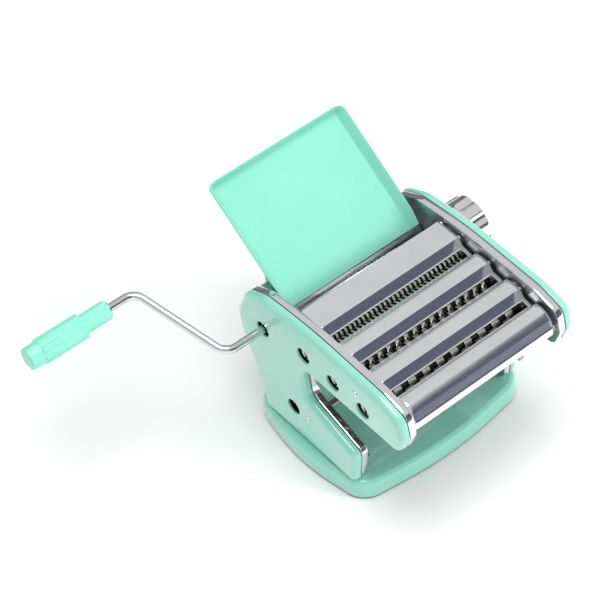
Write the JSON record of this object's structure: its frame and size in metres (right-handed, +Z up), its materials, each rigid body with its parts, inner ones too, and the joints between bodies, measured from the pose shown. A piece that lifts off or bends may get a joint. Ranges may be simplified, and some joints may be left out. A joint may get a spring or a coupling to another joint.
{
  "type": "pasta roller machine",
  "caption": "Manual pasta machine on a heavy base: smooth rollers with a gap knob, cutter rollers in a row, a dough tray and a pull-out crank.",
  "frame": {"origin": "centre of the base's underside", "axes": "+X along the rollers from the crank to the knob, +Y to the back where the dough tray is, +Z up"},
  "size_m": [0.414, 0.2922, 0.2346],
  "materials": {
    "enamel": "gloss",
    "tray_plastic": "gloss",
    "grip_plastic": "gloss",
    "sole_rubber": "matte",
    "bright_trim": "polished",
    "deck_steel": "satin",
    "nylon": "matte",
    "knob_chrome": "polished",
    "crank_chrome": "polished",
    "cutter_steel": "polished",
    "roller_steel": "polished",
    "gear_steel": "satin",
    "plate_steel": "satin",
    "hardware": "satin"
  },
  "bodies": {
    "frame": {"base_shell": "enamel", "base_sole": "sole_rubber", "base_bolts": "hardware", "left_foot_bracket": "plate_steel", "right_foot_bracket": "plate_steel", "left_side_plate": "plate_steel", "right_side_plate": "plate_steel", "left_trim_band": "bright_trim", "right_trim_band": "bright_trim", "left_cover": "enamel", "right_cover": "enamel", "cover_screws": "hardware", "top_deck": "deck_steel", "rear_cover": "deck_steel", "arm_tie_rod": "hardware", "foot_tie_rod": "hardware", "spine_tie_rod": "hardware", "nose_tie_rod": "hardware", "left_drive_bush": "nylon", "right_drive_bush": "nylon", "front_roller_scraper": "nylon", "rear_roller_scraper": "nylon", "fine_comb": "nylon", "medium_comb": "nylon", "wide_comb": "nylon", "frame_screws": "hardware", "index_plate": "knob_chrome", "nose_bolt": "hardware"},
    "drive": {"drive_roller": "roller_steel", "drive_gear": "gear_steel"},
    "carriage": {"roller_shaft": "hardware"},
    "front_roller": {"adjustable_roller": "roller_steel", "adjustable_gear": "gear_steel"},
    "adjuster": {"adjuster_spindle": "hardware", "knob_spring": "hardware"},
    "knob": {"adjusting_knob": "knob_chrome", "knob_cap": "knob_chrome"},
    "fine_driven": {"fine_driven_cutter": "cutter_steel", "fine_driven_gear": "gear_steel"},
    "fine_idler": {"fine_idler_cutter": "cutter_steel", "fine_idler_gear": "gear_steel"},
    "medium_driven": {"medium_driven_cutter": "cutter_steel", "medium_driven_gear": "gear_steel"},
    "medium_idler": {"medium_idler_cutter": "cutter_steel", "medium_idler_gear": "gear_steel"},
    "wide_driven": {"wide_driven_cutter": "cutter_steel", "wide_driven_gear": "gear_steel"},
    "wide_idler": {"wide_idler_cutter": "cutter_steel", "wide_idler_gear": "gear_steel"},
    "crank": {"crank_rod": "crank_chrome", "crank_pin": "hardware", "grip_washer": "hardware"},
    "grip": {"grip": "grip_plastic"},
    "tray": {"tray": "tray_plastic"}
  },
  "joints": [
    {"name": "drive_spin", "type": "hinge", "parent": "frame", "child": "drive", "pos_m": [0, 0.0488, 0.1365], "axis": [1, 0, 0], "continuous": true},
    {"name": "adjust_slide", "type": "slide", "parent": "frame", "child": "carriage", "axis": [0, 1, 0], "range_m": [0, 0.0024]},
    {"name": "front_roller_spin", "type": "hinge", "parent": "carriage", "child": "front_roller", "pos_m": [0, 0.0211, 0.1365], "axis": [1, 0, 0], "continuous": true},
    {"name": "knob_turn", "type": "hinge", "parent": "frame", "child": "adjuster", "pos_m": [0.103, 0.0223, 0.1365], "axis": [1, 0, 0], "range_deg": [0, 180]},
    {"name": "knob_pull", "type": "slide", "parent": "adjuster", "child": "knob", "axis": [1, 0, 0], "range_m": [0, 0.004], "stiffness_N_per_m": 600, "springref_m": -0.004, "deforming": ["knob_spring"]},
    {"name": "fine_spin", "type": "hinge", "parent": "frame", "child": "fine_driven", "pos_m": [0, -0.009, 0.1494], "axis": [1, 0, 0], "continuous": true},
    {"name": "fine_idler_spin", "type": "hinge", "parent": "frame", "child": "fine_idler", "pos_m": [0, -0.026, 0.1494], "axis": [1, 0, 0], "continuous": true},
    {"name": "medium_spin", "type": "hinge", "parent": "frame", "child": "medium_driven", "pos_m": [0, -0.0488, 0.1475], "axis": [1, 0, 0], "continuous": true},
    {"name": "medium_idler_spin", "type": "hinge", "parent": "frame", "child": "medium_idler", "pos_m": [0, -0.0658, 0.1475], "axis": [1, 0, 0], "continuous": true},
    {"name": "wide_spin", "type": "hinge", "parent": "frame", "child": "wide_driven", "pos_m": [0, -0.0886, 0.1456], "axis": [1, 0, 0], "continuous": true},
    {"name": "wide_idler_spin", "type": "hinge", "parent": "frame", "child": "wide_idler", "pos_m": [0, -0.1056, 0.1456], "axis": [1, 0, 0], "continuous": true},
    {"name": "crank_pull", "type": "slide", "parent": "drive", "child": "crank", "axis": [-1, 0, 0], "range_m": [0, 0.03]},
    {"name": "grip_spin", "type": "hinge", "parent": "crank", "child": "grip", "pos_m": [-0.24, 0.13915, 0.16586], "axis": [1, 0, 0], "continuous": true},
    {"name": "tray_lift", "type": "slide", "parent": "frame", "child": "tray", "axis": [0, 0, 1], "range_m": [0, 0.06]}
  ],
  "couplings": [
    {"joint": "front_roller_spin", "follows": "drive_spin", "ratio": -1},
    {"joint": "adjust_slide", "follows": "knob_turn", "m_per_rad": 0.00076394},
    {"joint": "fine_idler_spin", "follows": "fine_spin", "ratio": -1},
    {"joint": "medium_idler_spin", "follows": "medium_spin", "ratio": -1},
    {"joint": "wide_idler_spin", "follows": "wide_spin", "ratio": -1}
  ]
}
